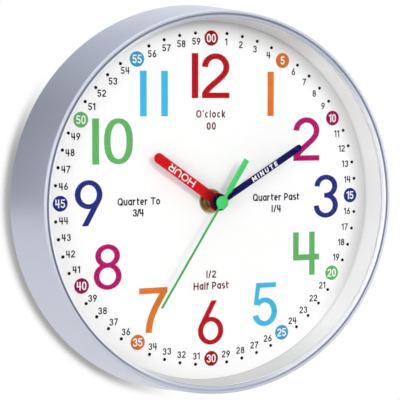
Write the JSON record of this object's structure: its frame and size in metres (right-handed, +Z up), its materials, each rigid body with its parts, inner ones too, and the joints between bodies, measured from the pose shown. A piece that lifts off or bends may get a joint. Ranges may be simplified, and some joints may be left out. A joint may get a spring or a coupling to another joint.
{
  "type": "teaching wall clock",
  "caption": "Round teaching wall clock with a silver tapered case, deep white ring, coloured dial figures, red, navy and green hands and a battery movement.",
  "frame": {"origin": "centre of the hanging hole's entry, on the back face that lies on the wall", "axes": "+Z up the wall, +Y into the wall, so the dial faces -Y, and +X to the right seen from the front"},
  "size_m": [0.3002, 0.0582, 0.3002],
  "materials": {
    "case_silver": "satin silver lacquer on moulded plastic",
    "clear_glass": "clear, polished",
    "ring_white": "satin white",
    "dial_white": "matt white with printed figures",
    "cover_grey": "fine moulded grain",
    "bright_steel": "zinc plated",
    "movement_black": "satin black",
    "gear_white": "natural acetal",
    "brass": "turned brass",
    "washer_rubber": "matt",
    "cell_jacket": "plain printed sleeve",
    "board_green": "solder resist",
    "chip_black": "cast resin",
    "motor_iron": "stamped iron",
    "coil_copper": "enamelled copper wire",
    "magnet_black": "sintered",
    "hand_red": "gloss paint",
    "hand_navy": "gloss paint",
    "hand_green": "gloss paint",
    "knob_grey": "moulded"
  },
  "bodies": {
    "clock_case": {"case": "case_silver", "glass": "clear_glass", "white_ring": "ring_white", "dial": "dial_white", "back_cover": "cover_grey", "cover_screws": "bright_steel", "movement_housing": "movement_black", "train_plate": "gear_white", "movement_cover": "movement_black", "threaded_bush": "brass", "rubber_washer": "washer_rubber", "brass_washer": "brass", "brass_nut": "brass", "battery_cell": "cell_jacket", "plus_contact": "bright_steel", "minus_contact": "bright_steel", "circuit_board": "board_green", "chip_cover": "chip_black", "crystal": "bright_steel", "stator": "motor_iron", "coil_core": "motor_iron", "coil_bobbin": "gear_white", "coil_winding": "coil_copper"},
    "rotor": {"rotor_magnet": "magnet_black", "rotor_pinion": "gear_white"},
    "fifth": {"fifth_wheel": "gear_white"},
    "seconds": {"seconds_wheel": "gear_white", "seconds_arbor": "bright_steel", "second_hand": "hand_green"},
    "third": {"third_wheel": "gear_white"},
    "centre": {"centre_wheel": "gear_white"},
    "minutes": {"minute_tube": "gear_white", "minute_hand": "hand_navy"},
    "motion": {"motion_wheel": "gear_white"},
    "hours": {"hour_wheel": "gear_white", "hour_hand": "hand_red"},
    "setting": {"setting_arbor": "gear_white", "setting_knob": "knob_grey"}
  },
  "joints": [
    {"name": "seconds_turn", "type": "hinge", "parent": "clock_case", "child": "seconds", "pos_m": [0, -0.04, -0.1], "axis": [0, 1, 0], "continuous": true},
    {"name": "rotor_turn", "type": "hinge", "parent": "clock_case", "child": "rotor", "pos_m": [-0.01052, -0.04, -0.09138], "axis": [0, 1, 0], "continuous": true},
    {"name": "fifth_turn", "type": "hinge", "parent": "clock_case", "child": "fifth", "pos_m": [-0.009, -0.04, -0.1], "axis": [0, 1, 0], "continuous": true},
    {"name": "third_turn", "type": "hinge", "parent": "clock_case", "child": "third", "pos_m": [0.01125, -0.04, -0.1], "axis": [0, 1, 0], "continuous": true},
    {"name": "centre_turn", "type": "hinge", "parent": "clock_case", "child": "centre", "pos_m": [0, -0.04, -0.1], "axis": [0, 1, 0], "continuous": true},
    {"name": "minutes_turn", "type": "hinge", "parent": "clock_case", "child": "minutes", "pos_m": [0, -0.04, -0.1], "axis": [0, 1, 0], "continuous": true},
    {"name": "motion_turn", "type": "hinge", "parent": "clock_case", "child": "motion", "pos_m": [0, -0.04, -0.088], "axis": [0, 1, 0], "continuous": true},
    {"name": "hours_turn", "type": "hinge", "parent": "clock_case", "child": "hours", "pos_m": [0, -0.04, -0.1], "axis": [0, 1, 0], "continuous": true},
    {"name": "setting_turn", "type": "hinge", "parent": "clock_case", "child": "setting", "pos_m": [0.01039, -0.04, -0.082], "axis": [0, 1, 0], "continuous": true}
  ],
  "couplings": [
    {"joint": "fifth_turn", "follows": "seconds_turn", "ratio": -5},
    {"joint": "rotor_turn", "follows": "seconds_turn", "ratio": 30},
    {"joint": "third_turn", "follows": "seconds_turn", "ratio": -0.13333},
    {"joint": "centre_turn", "follows": "seconds_turn", "ratio": 0.016667},
    {"joint": "motion_turn", "follows": "minutes_turn", "ratio": -0.33333},
    {"joint": "hours_turn", "follows": "minutes_turn", "ratio": 0.083333},
    {"joint": "setting_turn", "follows": "minutes_turn", "ratio": 1}
  ]
}
